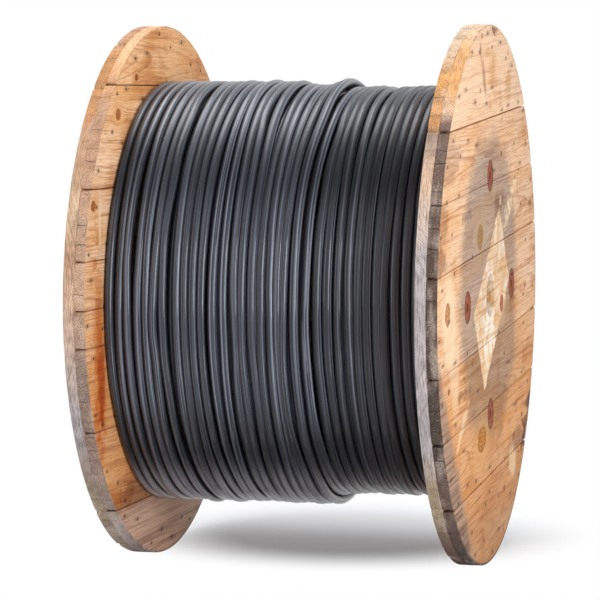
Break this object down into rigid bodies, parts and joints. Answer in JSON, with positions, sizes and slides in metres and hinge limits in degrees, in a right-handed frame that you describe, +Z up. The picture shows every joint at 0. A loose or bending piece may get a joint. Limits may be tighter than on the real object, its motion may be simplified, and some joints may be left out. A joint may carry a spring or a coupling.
{
  "type": "wooden cable drum",
  "caption": "Wooden cable drum: two flanges of crossed boards on a stave barrel with tie rods, wound full of black sheathed cable, standing on its rims.",
  "frame": {"origin": "on the floor, below the middle of the drum", "axes": "+X along the drum's axis, +Y and +X level, +Z up; the drum's axis is 0.5 m above the origin"},
  "size_m": [0.666, 1, 1],
  "materials": {
    "flange_boards": "sawn softwood, weathered",
    "barrel_staves": "sawn softwood",
    "tie_rods": "plain steel, rusting",
    "plate_nuts": "rusted steel",
    "cable_sheath": "satin black sheath, dusty"
  },
  "bodies": {
    "root": {"barrel_staves": "barrel_staves", "cable_full_layers": "cable_sheath", "cable_last_layer": "cable_sheath", "left_inner_board_1": "flange_boards", "left_inner_board_2": "flange_boards", "left_inner_board_3": "flange_boards", "left_inner_board_4": "flange_boards", "left_inner_board_5": "flange_boards", "left_inner_board_6": "flange_boards", "left_inner_board_7": "flange_boards", "left_inner_board_8": "flange_boards", "left_outer_board_1": "flange_boards", "left_outer_board_2": "flange_boards", "left_outer_board_3": "flange_boards", "left_outer_board_4": "flange_boards", "left_outer_board_5": "flange_boards", "left_outer_board_6": "flange_boards", "left_outer_board_7": "flange_boards", "left_plate_nuts": "plate_nuts", "right_inner_board_1": "flange_boards", "right_inner_board_2": "flange_boards", "right_inner_board_3": "flange_boards", "right_inner_board_4": "flange_boards", "right_inner_board_5": "flange_boards", "right_inner_board_6": "flange_boards", "right_inner_board_7": "flange_boards", "right_outer_board_1": "flange_boards", "right_outer_board_2": "flange_boards", "right_outer_board_3": "flange_boards", "right_outer_board_4": "flange_boards", "right_outer_board_5": "flange_boards", "right_outer_board_6": "flange_boards", "right_outer_board_7": "flange_boards", "right_plate_nuts": "plate_nuts", "tie_rods": "tie_rods"}
  },
  "joints": []
}
